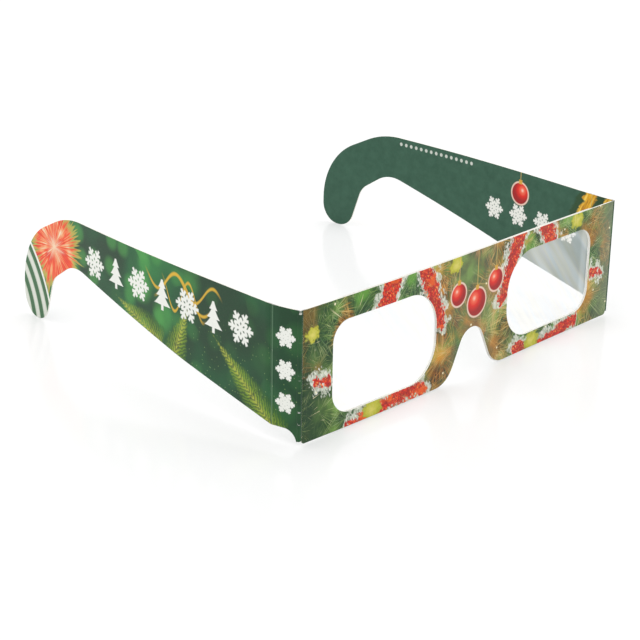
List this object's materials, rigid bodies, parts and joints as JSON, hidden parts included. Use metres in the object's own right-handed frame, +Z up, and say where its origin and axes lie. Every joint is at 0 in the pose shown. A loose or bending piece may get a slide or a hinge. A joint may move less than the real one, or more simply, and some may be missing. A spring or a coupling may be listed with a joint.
{
  "type": "diffraction glasses",
  "caption": "Folding card diffraction glasses: front with clear grating films in rounded windows, nose notch, creased side strips and tapering temples with ear hooks.",
  "frame": {"origin": "on the front card's outer face, midway between the eye windows and in the middle of the nose notch's mouth, at the level of the table that the glasses stand on", "axes": "+X to the right across the front as a viewer facing the printed side sees it, +Y back from the front towards the ear hooks, +Z up"},
  "size_m": [0.1575, 0.135, 0.0387],
  "materials": {
    "printed_card": "satin varnished print",
    "plain_card": "uncoated matt",
    "grating_film": "clear gloss with a faint rainbow sheen",
    "glue": "dried clear adhesive"
  },
  "bodies": {
    "front": {"front_card": "printed_card", "back_liner": "plain_card", "glue_layer": "glue", "film_left": "grating_film", "film_right": "grating_film", "corner_crease_left": "printed_card", "corner_crease_right": "printed_card"},
    "left_strip": {"strip_left": "printed_card", "temple_crease_left": "printed_card"},
    "right_strip": {"strip_right": "printed_card", "temple_crease_right": "printed_card"},
    "left_temple": {"temple_left": "printed_card"},
    "right_temple": {"temple_right": "printed_card"}
  },
  "joints": [
    {"name": "corner_fold_left", "type": "hinge", "parent": "front", "child": "left_strip", "pos_m": [-0.07225, 0.00045, 0.019], "axis": [0, 0, -1], "range_deg": [-80, 10]},
    {"name": "temple_fold_left", "type": "hinge", "parent": "left_strip", "child": "left_temple", "pos_m": [-0.07373, 0.00882, 0.021], "axis": [0, 0, -1], "range_deg": [-17, 73]},
    {"name": "corner_fold_right", "type": "hinge", "parent": "front", "child": "right_strip", "pos_m": [0.07225, 0.00045, 0.019], "axis": [0, 0, 1], "range_deg": [-85.5, 49.5]},
    {"name": "temple_fold_right", "type": "hinge", "parent": "right_strip", "child": "right_temple", "pos_m": [0.07292, 0.00892, 0.021], "axis": [0, 0, 1], "range_deg": [0, 45]}
  ]
}
